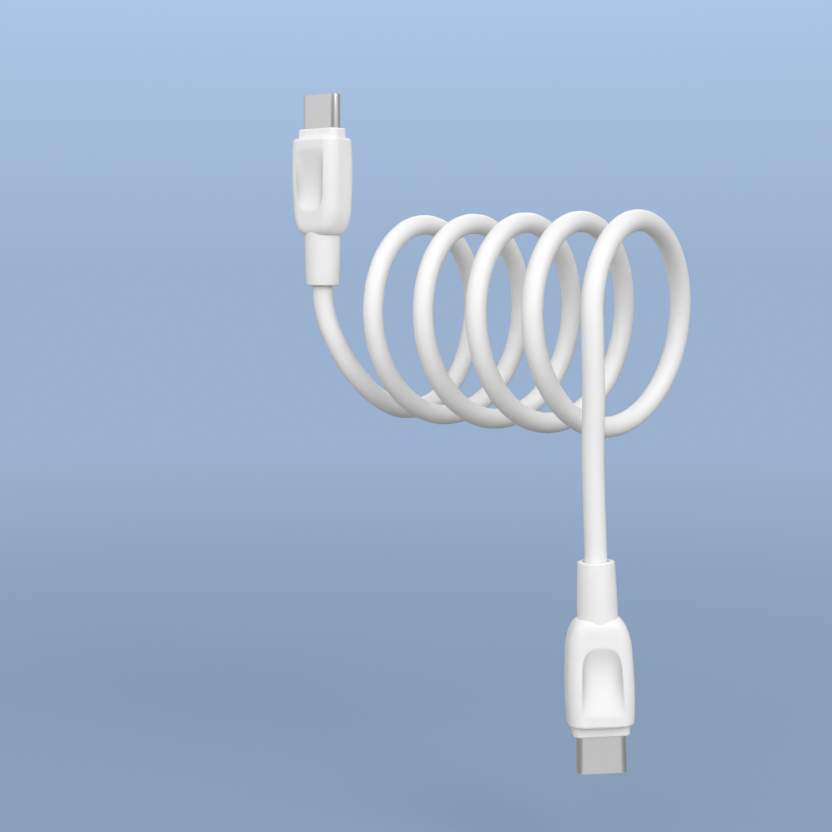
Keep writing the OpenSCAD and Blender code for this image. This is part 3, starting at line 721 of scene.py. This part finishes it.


# Plastics: the darker and the lighter colour, roughness, the grain's scale and its depth, and
# for the covers the colour of painted shade on a scoop's steep side walls.
PLASTICS = {
    "cover_plastic": (grey(0.875), grey(0.905), 0.46, 9000, 0.000006, grey(0.60)),
    "relief_plastic": (grey(0.87), grey(0.90), 0.42, 8000, 0.000008),
    "mould_plastic": (grey(0.86), grey(0.89), 0.40, 9000, 0.000006),
    "cord_jacket": (grey(0.865), grey(0.90), 0.46, 7000, 0.000010),
    "housing_plastic": (grey(0.020), grey(0.030), 0.5, 12000, 0.000006),
    "circuit_card": ((0.012, 0.10, 0.04), (0.02, 0.16, 0.06), 0.30, 6000, 0.000006),
    "chip_plastic": (grey(0.020), grey(0.032), 0.55, 12000, 0.000006),
    "red_insulation": ((0.42, 0.015, 0.012), (0.52, 0.03, 0.02), 0.34, 7000, 0.000006),
    "black_insulation": (grey(0.012), grey(0.022), 0.34, 7000, 0.000006),
    "blue_insulation": ((0.012, 0.045, 0.30), (0.02, 0.07, 0.42), 0.34, 7000, 0.000006),
    "green_insulation": ((0.01, 0.20, 0.04), (0.02, 0.30, 0.06), 0.34, 7000, 0.000006),
    "white_insulation": ((0.78, 0.77, 0.73), (0.84, 0.83, 0.79), 0.34, 7000, 0.000006),
}
# Metals: the darker and the lighter colour, and roughness.
METALS = {
    "shell_steel": (grey(0.70), grey(0.75), 0.24),
    "contact_gold": ((0.80, 0.56, 0.20), (0.90, 0.68, 0.30), 0.22),
    "spring_steel": (grey(0.52), grey(0.60), 0.25),
    "can_steel": (grey(0.55), grey(0.62), 0.30),
    "crimp_brass": ((0.62, 0.42, 0.16), (0.72, 0.52, 0.24), 0.30),
    "braid_wire": ((0.42, 0.38, 0.33), (0.66, 0.60, 0.52), 0.38),
    "bare_copper": ((0.60, 0.27, 0.14), (0.76, 0.40, 0.24), 0.28),
}
MATERIALS = {slot: moulded_plastic(slot, *look) for slot, look in PLASTICS.items()}
MATERIALS.update({slot: drawn_metal(slot, *look) for slot, look in METALS.items()})


def paint(piece, slot):
    piece.data.materials.clear()
    piece.data.materials.append(MATERIALS[slot])


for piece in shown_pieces():
    if "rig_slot" in piece:
        paint(piece, piece["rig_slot"])
for part in frame["record"]["subparts"]:
    paint(frame["nodes"][part["node"]], part["material_slot"])

# ---- Floor, world and lights ----

# The backdrop's colour at the horizon and high up, and the height where it is full.
BACKDROP = (0.325, 0.440, 0.625)
BACKDROP_HIGH = (0.420, 0.560, 0.800)
BACKDROP_TOP = 0.16
# The floor: how light it looks, how much light it throws back, and where it fades out.
FLOOR_Z = -0.088
FLOOR_RADIUS = 4
FLOOR_LIT = 0.88
FLOOR_DARK = 0.24
FLOOR_FADE = (0.10, 0.60)
# The soft light: the way it comes from, where it starts to rise, and its two levels.
SKY_FRONT = (0.52, -0.80, -0.30)
SKY_FRONT_FROM = -0.3
SKY_DIM = 0.40
SKY_BRIGHT = 1.96

# What polished metal shows of the room: brightness by compass direction in degrees.
ROOM = (
    (-180, 0.45), (-156, 0.72), (-136, 0.82), (-106, 0.80), (-84, 0.36), (-62, 0.26),
    (-48, 0.42), (-34, 0.64), (-8, 0.80), (18, 0.70), (45, 0.40), (90, 0.36), (180, 0.45),
)
# The same for the floor close by, which the hanging plug shows.
NEAR_ROOM = (
    (-180, 0.40), (-140, 0.34), (-90, 0.28), (-62, 0.34), (-50, 0.70), (-26, 0.74),
    (-12, 0.40), (20, 0.26), (90, 0.36), (180, 0.40),
)


def room_sheen(recipe, way, room):
    """The room's brightness as polished metal shows it, by the direction it lies in."""
    x = recipe.add("ShaderNodeSeparateXYZ", {"output": "X"}, way)
    y = recipe.add("ShaderNodeSeparateXYZ", {"output": "Y"}, way)
    turn = x.maths("ARCTAN2", y, x)
    stops = [((degrees + 180) / 360, (*grey(value), 1)) for degrees, value in room]
    return recipe.add("ShaderNodeValToRGB", {"stops": stops}, turn * (0.5 / math.pi) + 0.5)


def make_world():
    """Soft light from all round, the room that metal shows, and the backdrop."""
    world = bpy.data.worlds.new("world")
    bpy.context.scene.world = world
    sky = Recipe(world)
    sky.tree.nodes.remove(sky.tree.nodes["Background"])
    direction = sky.add("ShaderNodeTexCoord", {"output": "Generated"})
    facing = sky.add(
        "ShaderNodeVectorMath", {"operation": "DOT_PRODUCT", "output": "Value"},
        direction, SKY_FRONT,
    )
    to_front = sky.add(
        "ShaderNodeMapRange", {"interpolation_type": "SMOOTHSTEP"},
        Value=facing, From_Min=SKY_FRONT_FROM, From_Max=1.0,
    )
    soft_light = sky.blend(to_front, grey(SKY_DIM), grey(SKY_BRIGHT))
    glossy = sky.add("ShaderNodeLightPath", {"output": "Is Glossy Ray"})
    light = sky.add(
        "ShaderNodeBackground", {},
        Color=sky.blend(glossy, soft_light, room_sheen(sky, direction, ROOM)), Strength=1.0,
    )
    height = sky.add("ShaderNodeSeparateXYZ", {"output": "Z"}, direction)
    rise = sky.add("ShaderNodeMapRange", {}, Value=height, From_Min=0.0, From_Max=BACKDROP_TOP)
    backdrop = sky.add(
        "ShaderNodeBackground", {}, Color=sky.blend(rise, BACKDROP, BACKDROP_HIGH), Strength=1.0
    )
    seen = sky.add("ShaderNodeLightPath", {"output": "Is Camera Ray"})
    shown = sky.add("ShaderNodeMixShader", {}, seen, light, backdrop)
    sky.feed(sky.tree.nodes["World Output"].inputs[0], shown)


def floor_material():
    """Plain and pale near the object, where it takes the shadow, and plain backdrop far out."""
    paint = Paint("floor")
    far_out = paint.add(
        "ShaderNodeVectorMath", {"operation": "LENGTH", "output": "Value"}, paint.place
    )
    fade = paint.add(
        "ShaderNodeMapRange", {"interpolation_type": "SMOOTHSTEP"},
        Value=far_out, From_Min=FLOOR_FADE[0], From_Max=FLOOR_FADE[1],
    )
    seen = paint.add("ShaderNodeLightPath", {"output": "Is Camera Ray"})
    glossy = paint.add("ShaderNodeLightPath", {"output": "Is Glossy Ray"})
    faded = fade * seen
    near_colour = tuple(c * FLOOR_LIT for c in BACKDROP)
    lit = paint.blend(seen, grey(FLOOR_DARK), near_colour)
    shown_in_metal = paint.blend(
        fade, room_sheen(paint, paint.place, NEAR_ROOM), room_sheen(paint, paint.place, ROOM)
    )
    return paint.set(
        Base_Color=paint.blend(faded + glossy, lit, grey(0)),
        Emission_Color=paint.blend(
            faded, paint.blend(glossy, grey(0), shown_in_metal), BACKDROP
        ),
        Emission_Strength=1.0,
        Roughness=0.9,
        Specular_IOR_Level=0.0,
    )


def soft_lamp(name, place, size, watts):
    """A round soft lamp that points at the object."""
    data = bpy.data.lights.new(name, "AREA")
    data.shape = "DISK"
    data.size = size
    data.energy = watts
    lamp = bpy.data.objects.new(name, data)
    lamp.location = place
    lamp.rotation_euler = (-Vector(place)).to_track_quat("-Z", "Y").to_euler()
    bpy.context.scene.collection.objects.link(lamp)


make_world()

deselect_all()
bpy.ops.mesh.primitive_circle_add(
    vertices=96, radius=FLOOR_RADIUS, fill_type="NGON", location=(0, 0, FLOOR_Z)
)
floor = bpy.context.object
floor.name = "floor"
floor.data.materials.append(floor_material())

soft_lamp("key", (0.07, -0.76, 0.64), 0.8, 0.6)
soft_lamp("right", (0.78, -0.10, 0.62), 0.6, 2.0)
soft_lamp("back", (-0.45, 0.60, 0.45), 0.6, 1.4)

bpy.context.scene.view_settings.view_transform = "Standard"
